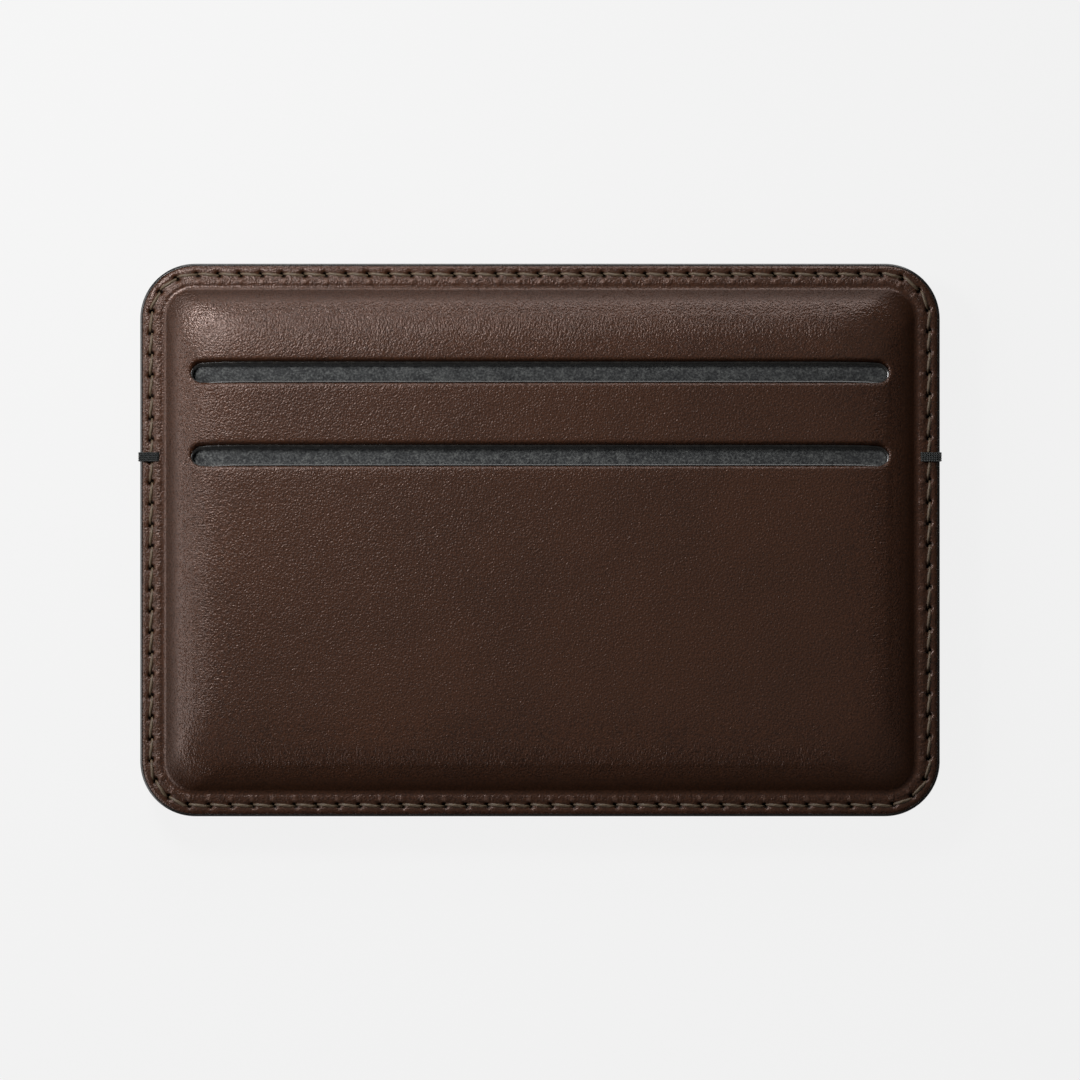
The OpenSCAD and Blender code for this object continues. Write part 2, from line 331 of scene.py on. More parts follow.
# Slot walls. Behind each slot a sheet of the same microfibre is bonded under the leather
# above the slot, then falls away to the floor of the pocket and leaves room for a card.
WALL_T = 0.4
SLOT_H = 2.3
SLOT_DROP = 0.9
UPPER_DROP = 2.2
BOND_CLEAR = 0.02
WALL_TAB = 3.55
WALL_CORNER_R = 5.45
WALL_TAB_R = 3.0
UNDER_LEATHER_Z = 7.9
WALL_COLUMNS = 72
WALL_ROW = 0.25
WALL_SOFTEN = 0.5
WALL_FALL_ABOVE = 0.8


def slot_wall(name, node_low, node_high, lip_y, drop):
    """A wall from its bonded tab above the slot's lip down to the pocket's floor, and its
    length along its own section. Its rows are close together where it turns or bends."""
    half_w, floor_y = node_high[0], node_low[1]
    fall_y = lip_y + WALL_FALL_ABOVE
    foot_y = fall_y - drop * SLOT_H / SLOT_DROP
    top_y = lip_y + WALL_TAB
    corner_rows = floor_y + WALL_CORNER_R * (1 - np.cos(np.linspace(0, math.pi / 2, 12)))
    plain_rows = np.linspace(floor_y + 6, BEND_FROM_Y - 4, 20)
    bend_rows = np.arange(BEND_FROM_Y - 3.5, top_y, WALL_ROW)
    ys = np.concatenate([corner_rows, plain_rows, bend_rows, [top_y]])
    steps = np.linspace(-1, 1, 9)
    fall = np.mean([np.interp(ys + WALL_SOFTEN * s, [foot_y, fall_y], [0, 1]) for s in steps], 0)
    zs = UNDER_LEATHER_Z - BOND_CLEAR - drop * (1 - fall)
    low = np.maximum(0, WALL_CORNER_R - (ys - floor_y))
    high = np.maximum(0, WALL_TAB_R - (top_y - ys))
    widths = half_w - WALL_CORNER_R + np.sqrt(WALL_CORNER_R**2 - low**2)
    widths += np.sqrt(WALL_TAB_R**2 - high**2) - WALL_TAB_R
    across = np.linspace(-1, 1, WALL_COLUMNS)
    points, rows = [], []
    for y, z, w in zip(ys, zs, widths):
        rows.append(range(len(points), len(points) + 2 * WALL_COLUMNS))
        points += [(w * a, y, z) for a in across] + [(w * a, y, z - WALL_T) for a in across[::-1]]
    faces = strips(rows)
    for row in (rows[0], rows[-1]):
        faces += [(row[k], row[k + 1], row[-2 - k], row[-1 - k]) for k in range(WALL_COLUMNS - 1)]
    return new_piece(name, points, faces, microfibre), np.hypot(np.diff(ys), np.diff(zs)).sum()


slot_ys = {}
for level in ("lower", "upper"):
    edging_low, edging_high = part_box(f"back_{level}_slot_edging")
    slot_ys[level] = (edging_low.y + edging_high.y) / 2 / MM
    low, high = (np.array(corner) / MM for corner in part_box(f"back_{level}_slot_wall"))
    drop = SLOT_DROP if level == "lower" else UPPER_DROP
    lip_y = slot_ys[level] + SLOT_H / 2
    front_wall, wall_l = slot_wall(f"front_{level}_wall", low, high, lip_y, drop)
    back_wall = back_of(front_wall, f"back_{level}_wall")
    flex(front_wall, "microfibre", f"front_{level}_slot_wall", f"flap_{level}_slot_wall")
    stay(back_wall, "microfibre", f"back_{level}_slot_wall")
    for wall, half in ((front_wall, "front"), (back_wall, "back")):
        MM * (high[0] - low[0])

# Welt. A narrow strip of microfibre is sewn in between the two halves, round the sides
# and the bottom up to the tacks. It keeps the centre pocket open by its own thickness.
WELT_IN = 3.2
WELT_TOP_Y = 11.3
WELT_STEP = 0.7
WELT_CLEAR = 0.08

welt_low_z, welt_high_z = (corner[2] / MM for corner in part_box("pocket_welt"))
side_start = SEAM_RUNS[0] + QUARTER + HALF[1] - CORNER_R - WELT_TOP_Y
side_end = SEAM_L - QUARTER - (HALF[1] - CORNER_R - WELT_TOP_Y)
places = np.linspace(side_start, side_end, int((side_end - side_start) / WELT_STEP))
outer = ring(places, EDGE_COAT + WELT_CLEAR, CORNER_R - EDGE_COAT - WELT_CLEAR)
inner = ring(places, WELT_IN, CORNER_R - WELT_IN)
points, rows = [], []
for (x, y), (u, v) in zip(outer, inner):
    rows.append(range(len(points), len(points) + 4))
    points += [(x, y, welt_low_z), (x, y, welt_high_z), (u, v, welt_high_z), (u, v, welt_low_z)]
welt = new_piece("welt_strip", points, strips(rows) + [tuple(rows[0]), tuple(rows[-1])], microfibre)
stay(welt, "microfibre", "pocket_welt")

# Leather. Each half is one piece of brown vegetable-tanned leather, wet moulded over the
# frame: a flat sewn border, a crease, a steep foot and a long soft shoulder. The slots are
# cut through, the lip of each is rubbed round, and the seam's thread draws the border in.
LEATHER_PIT = (33, 18, 10)
LEATHER_CREST = (65, 38, 23)
# Painted shade, which darkens the crease and the foot of the wall
LEATHER_FOLD_SHADE = (32, 17, 8)
# Painted highlight, which lightens the crests of the puckers behind the needle holes
PUCKER_HIGHLIGHT = (76, 53, 42)
LEATHER_SHEEN = (1.0, 0.78, 0.71, 1.0)
# Painted shade in the needle holes
NEEDLE_HOLE_SHADE = (10, 6, 4)
LEATHER_T = 1.1
RISE = 2.6
EDGE_ROUND = 0.5
EDGE_FALL = 0.16
BORDER_LEAN = 0.08
CREASE_START = 2.7
CREASE_R = 1.3
FOOT_SLOPE = 0.52
CROWN_REACH = 4.6
CROWN_POWER = 1.75
CREASE_END = 3.4
CROWN_END = 20
SLOPE_STEP = 0.005
CORNER_SOFTEN = 1.2
STITCHES = 119
STITCH_START = 0.3
PITCH = SEAM_L / STITCHES
VALLEY_DEPTH = 0.06
VALLEY_W = 0.3
HOLE_DEPTH = 0.5
HOLE_ALONG = 0.3
HOLE_ACROSS = 0.34
HOLE_SLANT = 0.35
DIMPLE_DEPTH = 0.1
DIMPLE_ALONG = 0.42
DIMPLE_ACROSS = 0.55
PUCKER = 0.12
PUCKER_IN = 0.75
PUCKER_W = 0.46
PUCKER_AFTER = 0.1
PUCKER_ALONG = 0.32
PEBBLES = 3.8
PEBBLE_H = 0.048
PORES = 4.2
PORE_H = 0.088
SPECKS = 4.0
CLOUDS = 0.07
STREAKS = (4.2, 4.2, 1.6)
STREAK_H = 0.1
WAVES = 0.25
WAVE_H = 0.05
SLOT_CUT = 0.28
SLOT_RAKE = 0.45
GRID_FROM = 5.4
TOP_GRID = 1.1
UNDER_GRID = 1.9
LIP_CLEAR = 0.25
SEED = 11

# The moulded section: how steep it is at each inset, and how far it has climbed there
slopes_at = np.arange(CREASE_START, CROWN_END, SLOPE_STEP)
foot_lean = math.sin(math.atan(FOOT_SLOPE))
past_foot = np.maximum(slopes_at - CREASE_START - CREASE_R * foot_lean, 0)
lean = np.minimum((slopes_at - CREASE_START) / CREASE_R, foot_lean)
crease_slope = np.maximum(BORDER_LEAN, lean / np.sqrt(1 - lean**2))
shoulder_slope = FOOT_SLOPE * np.exp(-((past_foot / CROWN_REACH) ** CROWN_POWER))
climb = np.cumsum(np.where(past_foot > 0, shoulder_slope, crease_slope))
climb *= RISE / climb[-1]


def corner_at(inset):
    """Corner radius of the level line at an inset. Past the crease it grows again, since
    leather can't be drawn sharply over a corner of the frame."""
    past = np.maximum(inset - CREASE_END, 0)
    return CORNER_R - np.minimum(inset, CREASE_END) + CORNER_SOFTEN * (1 - np.exp(-past / 2))


def inset_at(x, y):
    """How far in from the edge a point's level line lies."""
    low, high = np.zeros(len(x)), np.full(len(x), HALF[1] - 3)
    for _ in range(40):
        middle = (low + high) / 2
        radius = corner_at(middle)
        over_x = np.abs(x) - (HALF[0] - middle - radius)
        over_y = np.abs(y) - (HALF[1] - middle - radius)
        reach = np.hypot(np.maximum(over_x, 0), np.maximum(over_y, 0))
        inside = reach + np.minimum(np.maximum(over_x, over_y), 0) < radius
        low, high = np.where(inside, middle, low), np.where(inside, high, middle)
    return low


def leather_z(x, y):
    """Height of the moulded face, inside the seam."""
    return BORDER_Z + np.interp(inset_at(x, y), slopes_at, climb)


def slot_gap(x, y, slot_y):
    """Distance from the clear opening of a slot, less than 0 inside it."""
    past_end = np.maximum(np.abs(x) - SLOT_HALF_RUN, 0)
    return np.hypot(past_end, y - slot_y) - SLOT_H / 2


def slot_loop(slot_y, grow):
    """Points round a slot's outline, grown by a distance, clockwise."""
    radius = SLOT_H / 2 + grow
    run = np.linspace(-SLOT_HALF_RUN, SLOT_HALF_RUN, 120)
    turns = np.linspace(0, math.pi, 22)[1:-1]
    top = [(x, radius) for x in run]
    end = [(SLOT_HALF_RUN + radius * math.sin(a), radius * math.cos(a)) for a in turns]
    half = np.array(top + end)
    return np.concatenate([half, -half]) + (0, slot_y)


slot_low, slot_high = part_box("back_lower_slot_edging")
SLOT_HALF_RUN = slot_high.x / MM - (slot_high.y - slot_low.y) / 2 / MM

# Places of the leather's columns: close together at each needle hole
hole_steps = np.array([0.0, 0.1, 0.21, 0.36, 0.6, 0.95])
hole_steps = np.concatenate([hole_steps, [PITCH / 2], PITCH - hole_steps[:0:-1]])
seam_places = (np.arange(STITCHES)[:, None] * PITCH + hole_steps + STITCH_START).ravel()
past_hole = np.tile(np.where(hole_steps > PITCH / 2, hole_steps - PITCH, hole_steps), STITCHES)
draw = np.random.default_rng(SEED)
hole_pull = np.repeat(draw.uniform(0.7, 1.25, STITCHES), len(hole_steps))
hole_pull = np.where(past_hole < 0, np.roll(hole_pull, -len(hole_steps)), hole_pull)
seam_places %= SEAM_L
turned = 2 * math.pi * seam_places / SEAM_L

border_insets = np.concatenate([
    [0.32, 0.335, 0.375, 0.44, 0.54, 0.68, 0.86, 1.0, 1.1, 1.19, 1.27, 1.34, 1.4, 1.46],
    [1.53, 1.61, 1.7, 1.82, 1.98, 2.16, 2.38, 2.6, 2.75, 2.88, 2.98, 3.07, 3.15, 3.23],
    [3.31, 3.4, 3.5, 3.62, 3.78, 4.0, 4.3, 4.7, 5.15, 5.6]])
points, places, holes, crests, rows = [], [], [], [], []


def add_row(inset, radius, z, hole=0.0, crest=0.0):
    """Adds a row of points, one for each column, all round the wallet."""
    spots = ring(seam_places, inset, radius)
    heights = np.broadcast_to(z, len(spots))
    rows.append(range(len(points), len(points) + len(spots)))
    points.extend(zip(spots[:, 0], spots[:, 1], heights))
    places.extend((SEAM_L / 2 / math.pi * math.cos(a), SEAM_L / 2 / math.pi * math.sin(a), inset)
                  for a in turned)
    holes.extend(np.broadcast_to(hole, len(spots)))
    crests.extend(np.broadcast_to(crest, len(spots)))


# Inset and height of the level lines of the underside
leather_low_z = BORDER_Z - LEATHER_T
underside_lines = ((6.2, 7.8), (5.5, 7.45), (4.9, 6.95), (4.5, 6.3), (4.25, 5.7),
                   (4.2, leather_low_z))
for inset, z in underside_lines:
    add_row(inset, float(corner_at(inset)), z)
add_row(border_insets[0], CORNER_R - border_insets[0], leather_low_z)
for inset in border_insets:
    z = BORDER_Z + np.interp(inset, slopes_at, climb) - BORDER_LEAN * max(0, CREASE_START - inset)
    z -= EDGE_FALL * max(0, 1 - (inset - border_insets[0]) / EDGE_ROUND) ** 2
    across = inset - SEAM_INSET
    z -= VALLEY_DEPTH * math.exp(-((across / VALLEY_W) ** 2))
    slant = across * HOLE_SLANT
    hole = np.exp(-(((past_hole - slant) / HOLE_ALONG) ** 2) - (across / HOLE_ACROSS) ** 2)
    dimple = np.exp(-((past_hole / DIMPLE_ALONG) ** 2) - (across / DIMPLE_ACROSS) ** 2)
    inner_side = math.exp(-(((across - PUCKER_IN) / PUCKER_W) ** 2))
    ridge = np.exp(-(((past_hole - PUCKER_AFTER) / PUCKER_ALONG) ** 2))
    z = z - hole_pull * (HOLE_DEPTH * hole + DIMPLE_DEPTH * dimple - PUCKER * ridge * inner_side)
    add_row(inset, float(corner_at(inset)), z, hole, ridge * inner_side)
faces = strips(rows)

# The flat face with its two slots, from the last row of the shoulder inwards. A lip's lines
# lie this far from the clear opening and this far below the face, the last on the underside.
slot_lips = [(0.76, 0.0), (0.62, 0.015), (0.5, 0.06), (0.4, 0.125), (0.33, 0.2),
             (SLOT_CUT, 0.3), (SLOT_CUT, None)]
slot_loops = []
for slot_y in slot_ys.values():
    lips = []
    for clear, fall in slot_lips:
        spots = slot_loop(slot_y, clear)
        surface = leather_z(spots[:, 0], spots[:, 1])
        lips.append(range(len(points), len(points) + len(spots)))
        if fall is None:
            points.extend((x, y - SLOT_RAKE, UNDER_LEATHER_Z) for x, y in spots)
        else:
            points.extend((x, y, z - fall) for (x, y), z in zip(spots, surface))
    slot_loops.append(lips)
    faces += strips(lips)


def clear_of_slots(x, y, grow, rake):
    """Which points lie further than grow from both slots, drawn down by a rake."""
    return np.min([slot_gap(x, y + rake, slot_y) for slot_y in slot_ys.values()], axis=0) > grow


# Inset past the last row, and spacing, of the level lines of the flat face
face_lines = ((0.3, 0.35), (0.65, 0.45), (1.1, 0.6), (1.7, 0.8), (2.5, 1.0), (3.5, 1.1),
              (4.6, 1.2))


def face_points(first, step, grow, rake):
    """Points spread over the flat face, on level lines first and then on a grid."""
    spread = []
    for inset, gap in face_lines:
        line = ring(np.arange(0, SEAM_L, gap), first + inset, float(corner_at(first + inset)))
        spread.append(line)
    xs, ys = np.meshgrid(np.arange(-HALF[0], HALF[0], step), np.arange(-HALF[1], HALF[1], step))
    xs, ys = xs.ravel(), ys.ravel()
    deep = inset_at(xs, ys) > first + GRID_FROM
    spread.append(np.stack([xs[deep], ys[deep]], 1))
    spread = np.concatenate(spread)
    return spread[clear_of_slots(spread[:, 0], spread[:, 1], grow, rake)]


for loop_row, lip, first, step, rake in (
        (rows[-1], 0, border_insets[-1], TOP_GRID, 0),
        (rows[0], -1, underside_lines[0][0], UNDER_GRID, SLOT_RAKE)):
    reach = slot_lips[lip][0]
    inner = face_points(first, step, reach + LIP_CLEAR, rake)
    loops = [loop_row, *(lips[lip] for lips in slot_loops)]
    faces += web(points, loops, inner, lambda x, y: clear_of_slots(x, y, reach, rake))
    z = leather_z(inner[:, 0], inner[:, 1]) if lip == 0 else np.full(len(inner), UNDER_LEATHER_Z)
    points.extend(zip(inner[:, 0], inner[:, 1], z))

# Where each point lies along the seam and in from the edge, for the drawn grain
rest = np.array(points[len(places):])
last_row = np.array([points[i] for i in rows[-1]])
nearest = [int(np.argmin(((last_row[:, :2] - p[:2]) ** 2).sum(1))) for p in rest]
circle = np.array(places[rows[-1][0]:rows[-1][-1] + 1])[nearest]
places += [(c[0], c[1], i) for c, i in zip(circle, inset_at(rest[:, 0], rest[:, 1]))]
holes += [0.0] * len(rest)
crests += [0.0] * len(rest)

leather, shader, wire = new_finish("moulded_leather")
at = wire.node("ShaderNodeTexCoord", "Object").stretched(1000, 1000, 1000)
drawn = wire.node("ShaderNodeAttribute", "Vector", attribute_name="seam_place")
inset = drawn.node("ShaderNodeSeparateXYZ", 2, {0: drawn})
needle = wire.node("ShaderNodeAttribute", "Fac", attribute_name="needle_hole")
pucker = wire.node("ShaderNodeAttribute", "Fac", attribute_name="pucker")
cloud = at.noise(CLOUDS, 3.0, 0.55)
warp = at.node("ShaderNodeTexNoise", 1, {"Vector": at, "Scale": 1.1, "Detail": 2.0})
bent = at.node("ShaderNodeVectorMath", 0, {0: warp, 1: (0.55, 0.55, 0.55), 2: at},
               operation="MULTIPLY_ADD")
pebble = bent.node("ShaderNodeTexVoronoi", 0, {"Vector": bent, "Scale": PEBBLES}, feature="F1")
pores = at.noise(PORES, 1.0, 0.5)
waves = at.noise(WAVES, 2.0, 0.5)
streaks = drawn.stretched(*STREAKS).noise(1.0, 2.0, 0.5)

# Where the fold, the steep wall, the streaks and the shoulder lie, by millimetres of inset.
# The streaks run out towards the corners, where their level lines come together.
fold_shade_and_dull = inset.between(3.25, 3.42) * (1 - inset.between(3.6, 5.4))
smooth_wall = inset.between(2.5, 2.9) * (1 - inset.between(4.4, 5.6))
from_middle = [at.node("ShaderNodeSeparateXYZ", k, {0: at}) for k in (0, 1)]
from_middle = [wire.maths("ABSOLUTE", distance) for distance in from_middle]
at_corner = from_middle[0].between(36.5, 40.5) * from_middle[1].between(20.5, 24.5)
streaked = inset.between(6.0, 6.9) * (1 - inset.between(8.2, 10.5)) * (1 - at_corner)
streaked = streaked + inset.between(1.7, 2.2) * (1 - inset.between(2.4, 2.9))
on_shoulder = inset.between(4.8, 6.2) * (1 - inset.between(9.0, 12.5))

# The grain is flatter on the wall, where the leather is drawn, and rubbing shines the edge,
# the lip of the crease and the shoulder. The fold and the needle holes are dull and painted
# darker, as painted shade; the puckers' crests are painted lighter, as a painted highlight.
grain = 0.66 + 0.12 * on_shoulder * (1 - at_corner) - 0.2 * smooth_wall
grain = grain * (PEBBLE_H * (1 - pebble) + PORE_H * pores)
relief = grain + STREAK_H * streaked * streaks + WAVE_H * waves
relief.raise_on(shader)
speckle = at.noise(SPECKS, 2.0, 0.6).between(0.28, 0.72)
hide = 0.2 * cloud.between(0.3, 0.7) + 0.8 * speckle
hide = hide.mix(srgb(*LEATHER_PIT), srgb(*LEATHER_CREST))
# The crease and the foot below it are darkened: painted shade.
hide = (0.5 * fold_shade_and_dull).mix(hide, srgb(*LEATHER_FOLD_SHADE))
# The puckers' crests are lightened: a painted highlight.
hide = pucker.between(0.15, 0.95).mix(hide, srgb(*PUCKER_HIGHLIGHT))
# The needle holes are darkened nearly to black: painted shade.
hide = needle.between(0.15, 0.45).mix(hide, srgb(*NEEDLE_HOLE_SHADE))
hide.to(shader.inputs["Base Color"])
rubbed = 1 - inset.between(0.5, 1.0)
rubbed = rubbed + 0.5 * inset.between(2.6, 2.9) * (1 - inset.between(3.2, 3.4))
rubbed = rubbed + inset.between(4.4, 5.2) * (1 - inset.between(6.0, 7.6))
(0.32 + 0.06 * pores - 0.09 * rubbed).to(shader.inputs["Roughness"])
shader.inputs["Specular IOR Level"].default_value = 0.5
shader.inputs["Specular Tint"].default_value = LEATHER_SHEEN
matte = leather.node_tree.nodes.new("ShaderNodeBsdfPrincipled")
hide.to(matte.inputs["Base Color"])
relief.raise_on(matte)
matte.inputs["Roughness"].default_value = 1.0
matte.inputs["Specular IOR Level"].default_value = 0.0
dulled = wire.maths("MAXIMUM", 0.6 * fold_shade_and_dull, needle)
shiny, matte = (Wire(leather.node_tree, layer.outputs[0]) for layer in (shader, matte))
finish = wire.node("ShaderNodeMixShader", 0, {0: dulled, 1: shiny, 2: matte})
finish.to(leather.node_tree.nodes["Material Output"].inputs["Surface"])

front_leather = new_piece("front_leather", points, faces, leather)
seam_place = front_leather.data.attributes.new("seam_place", "FLOAT_VECTOR", "POINT")
seam_place.data.foreach_set("vector", np.array(places, dtype=np.float32).ravel())
for name, values in (("needle_hole", holes), ("pucker", crests)):
    drawn_in = front_leather.data.attributes.new(name, "FLOAT", "POINT")
    drawn_in.data.foreach_set("value", np.array(values, dtype=np.float32))
back_leather = back_of(front_leather, "back_leather")
flex(front_leather, "leather", "front_cover", "flap_cover")
stay(back_leather, "leather", "back_cover")

# Edge coats. Black paint seals the cut edge of each half, leather and lining together, and
# the cut edge of each slot. It is brushed on in layers and dries to a smooth round bead.
COAT_BLACK = (22, 21, 20)
COAT_WORN = (40, 38, 36)
BRUSH_MARKS = 1400
EDGE_STEP = 0.45
EDGE_BEVEL = 0.16
EDGE_SOFT = 0.06
SLOT_COAT = 0.26
SLOT_COAT_H = 0.85
SLOT_COAT_SINK = 0.2
UPPER_LIP_SINK = 0.3
SLOT_BEVEL = 0.115
SLOT_SOFT = 0.05


def new_tree(name, sizes):
    """A geometry tree that takes a path, named sizes and a finish, and its inputs."""
    tree = bpy.data.node_groups.new(name, "GeometryNodeTree")
    kinds = {int: "NodeSocketInt", float: "NodeSocketFloat"}
    tree.interface.new_socket("Path", in_out="INPUT", socket_type="NodeSocketGeometry")
    for size, kind in sizes.items():
        tree.interface.new_socket(size, in_out="INPUT", socket_type=kinds[kind])
    tree.interface.new_socket("Finish", in_out="INPUT", socket_type="NodeSocketMaterial")
    tree.interface.new_socket("Piece", in_out="OUTPUT", socket_type="NodeSocketGeometry")
    given = tree.nodes.new("NodeGroupInput")
    return {socket.name: Wire(tree, socket) for socket in given.outputs if socket.name}


def deliver(shape, finish):
    """Ends a tree: real geometry, smooth, with its finish."""
    real = shape.node("GeometryNodeRealizeInstances", 0, {"Geometry": shape})
    smooth = real.node("GeometryNodeSetShadeSmooth", 0, {"Geometry": real})
    done = smooth.node("GeometryNodeSetMaterial", 0, {"Geometry": smooth, "Material": finish})
    done.to(done.tree.nodes.new("NodeGroupOutput").inputs["Piece"])


def grow(name, tree, path, closed, **sizes):
    """A plain mesh object that a tree makes along a path given in millimetres."""
    mesh = bpy.data.meshes.new(name)
    edges = [(k, k + 1) for k in range(len(path) - 1)] + ([(len(path) - 1, 0)] if closed else [])
    mesh.from_pydata([tuple(MM * c for c in p) for p in path], edges, [])
    piece = bpy.data.objects.new(name, mesh)
    bpy.context.scene.collection.objects.link(piece)
    modifier = piece.modifiers.new(name, "NODES")
    modifier.node_group = tree
    for socket in tree.interface.items_tree:
        if socket.in_out == "INPUT" and socket.name in sizes:
            modifier[socket.identifier] = sizes[socket.name]
    seen = piece.evaluated_get(bpy.context.evaluated_depsgraph_get())
    made = bpy.data.meshes.new_from_object(seen)
    piece.modifiers.clear()
    piece.data = made
    return piece


coat, shader, wire = new_finish("edge_coat")
at = wire.node("ShaderNodeTexCoord", "Object")
brushed = at.noise(BRUSH_MARKS, 3.0, 0.6)
worn = brushed.between(0.35, 0.75)
worn.mix(srgb(*COAT_BLACK), srgb(*COAT_WORN)).to(shader.inputs["Base Color"])
(0.2 + 0.12 * brushed).to(shader.inputs["Roughness"])
(0.012 * brushed).raise_on(shader)

bead = new_tree("bead_along_an_edge", {"Width": float, "Height": float, "Bevel": float,
                                       "Round": float})
rail = bead["Path"].node("GeometryNodeMeshToCurve", 0, {"Mesh": bead["Path"]})
rail = rail.node("GeometryNodeSetCurveNormal", 0, {"Curve": rail}, mode="Z_UP")
half_w, half_h = 0.5 * bead["Width"], 0.5 * bead["Height"]
corners = [(-1 * half_w, half_h), (-1 * half_w, bead["Bevel"] - half_h),
           (half_w, -1 * half_h), (half_w, half_h)]
corners = {f"Point {k + 1}": rail.node("ShaderNodeCombineXYZ", 0, {"X": x, "Y": y})
           for k, (x, y) in enumerate(corners)}
section = rail.node("GeometryNodeCurvePrimitiveQuadrilateral", 0, corners, mode="POINTS")
section = section.node("GeometryNodeFilletCurve", 0, {"Curve": section, "Count": 5,
                                                      "Radius": bead["Round"]}, mode="POLY")
swept = rail.node("GeometryNodeCurveToMesh", 0, {"Curve": rail, "Profile Curve": section})
deliver(swept, bead["Finish"])

coat_low_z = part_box("flap_edge_paint")[0].z / MM
coat_high_z = BORDER_Z - BORDER_LEAN * CREASE_START - EDGE_FALL
edge_places = np.arange(0, SEAM_L - EDGE_STEP / 2, EDGE_STEP)
edge_path = [(x, y, (coat_low_z + coat_high_z) / 2)
             for x, y in ring(edge_places, EDGE_COAT / 2, CORNER_R - EDGE_COAT / 2)]
edge_sizes = {"Width": EDGE_COAT * MM, "Height": (coat_high_z - coat_low_z) * MM,
              "Bevel": EDGE_BEVEL * MM, "Round": EDGE_SOFT * MM, "Finish": coat}
front_edge = grow("front_edge_coat", bead["Path"].tree, edge_path, True, **edge_sizes)
back_edge = back_of(front_edge, "back_edge_coat")
flex(front_edge, "edge_paint", "front_edge_paint", "flap_edge_paint")
stay(back_edge, "edge_paint", "back_edge_paint")

for level, slot_y in slot_ys.items():
    spots = slot_loop(slot_y, SLOT_COAT / 2)[::-1]
    above = np.clip((spots[:, 1] - slot_y) / SLOT_H * 2, 0, 1)
    tops = leather_z(spots[:, 0], spots[:, 1]) - SLOT_COAT_SINK - UPPER_LIP_SINK * above
    slot_path = [(x, y, z - SLOT_COAT_H / 2) for (x, y), z in zip(spots, tops)]
    slot_sizes = {"Width": SLOT_COAT * MM, "Height": SLOT_COAT_H * MM, "Bevel": SLOT_BEVEL * MM,
                  "Round": SLOT_SOFT * MM, "Finish": coat}
    front_coat = grow(f"front_{level}_slot_coat", bead["Path"].tree, slot_path, True, **slot_sizes)
    for vertex in front_coat.data.vertices:
        depth = max(tops) - vertex.co.z / MM
        vertex.co.y -= SLOT_RAKE / LEATHER_T * max(0, depth) * MM
    back_coat = back_of(front_coat, f"back_{level}_slot_coat")
    nodes = [f"flap_{level}_slot_edging"]
    if level == "lower":
        nodes.append(f"front_{level}_slot_edging")
    flex(front_coat, "edge_paint", *nodes)
    stay(back_coat, "edge_paint", f"back_{level}_slot_edging")

# Seam. A row of slanted stitches in waxed taupe thread runs all round each half, near the
# edge. Each stitch dives into its needle holes and lies in the dent that it pulls.
THREAD_DARK = (54, 42, 30)
THREAD_LIGHT = (102, 85, 64)
THREAD_D = 0.43
THREAD_LAY = 0.9
THREAD_TWIST = 0.3
THREAD_FLUFF = 6000
SEAM_POINTS = 800
STITCH_GAP = 0.3
STITCH_SLANT = 8
STITCH_CREST = 0.16
STITCH_DIVE = 0.5


def new_thread(name, dark, light, lay, twist):
    """A twisted thread's finish. Its strands wind round it once in each lay, and the twist
    says how much they show."""
    finish, shader, wire = new_finish(name)
    around = wire.node("ShaderNodeAttribute", "Fac", attribute_name="around")
    along = wire.node("ShaderNodeAttribute", "Fac", attribute_name="along")
    at = wire.node("ShaderNodeTexCoord", "Object")
    winding = 2 * math.pi * (2 * around + 1 / (lay * MM) * along)
    strands = 0.5 + 0.5 * wire.maths("SINE", winding)
    fluff = at.noise(THREAD_FLUFF, 2.0, 0.6)
    # The strands' crowns are lighter and the grooves between them darker: a painted highlight and
    # painted shade. The fluff varies the thread's own tone.
    shade = twist * strands + (1 - twist) * fluff
    shade.mix(srgb(*dark), srgb(*light)).to(shader.inputs["Base Color"])
    (0.08 * twist * strands + 0.02 * fluff).raise_on(shader)
    shader.inputs["Roughness"].default_value = 0.55
    return finish


def cord_of(rail, thickness, resolution):
    """A round cord along a curve, which knows where it is along and around itself."""
    run = rail.node("GeometryNodeSplineParameter", "Length")
    rail = rail.node("GeometryNodeStoreNamedAttribute", 0,
                     {"Geometry": rail, "Name": "along", "Value": run})
    section = rail.node("GeometryNodeCurvePrimitiveCircle", 0,
                        {"Resolution": resolution, "Radius": 0.5 * thickness})
    turn = rail.node("GeometryNodeSplineParameter", "Factor")
    section = section.node("GeometryNodeStoreNamedAttribute", 0,
                           {"Geometry": section, "Name": "around", "Value": turn})
    return rail.node("GeometryNodeCurveToMesh", 0,
                     {"Curve": rail, "Profile Curve": section, "Fill Caps": True})


seam = new_tree("stitches_along_a_seam", {"Stitches": int, "Start": float, "Length": float,
                                          "Slant": float, "Thickness": float, "Dive": float})
line = seam["Path"].node("GeometryNodeMeshToCurve", 0, {"Mesh": seam["Path"]})
seam_run = line.node("GeometryNodeCurveLength", 0, {"Curve": line})
order = line.node("GeometryNodeInputIndex")
along = (order + 0.5) * seam_run / seam["Stitches"] + seam["Start"]
sampled = {"Curves": line, "Length": along}
spot = line.node("GeometryNodeSampleCurve", "Position", sampled, mode="LENGTH")
heading = line.node("GeometryNodeSampleCurve", "Tangent", sampled, mode="LENGTH")
stations = line.node("GeometryNodePoints", 0, {"Count": seam["Stitches"], "Position": spot})
lying = line.node("FunctionNodeAlignRotationToVector", 0, {"Vector": heading},
                  axis="X", pivot_axis="Z")
slant = line.node("ShaderNodeCombineXYZ", 0, {"Z": -1 * seam["Slant"]})
slant = slant.node("FunctionNodeEulerToRotation", 0, {0: slant})
lying = lying.node("FunctionNodeRotateRotation", 0, {"Rotation": lying, "Rotate By": slant},
                   rotation_space="LOCAL")

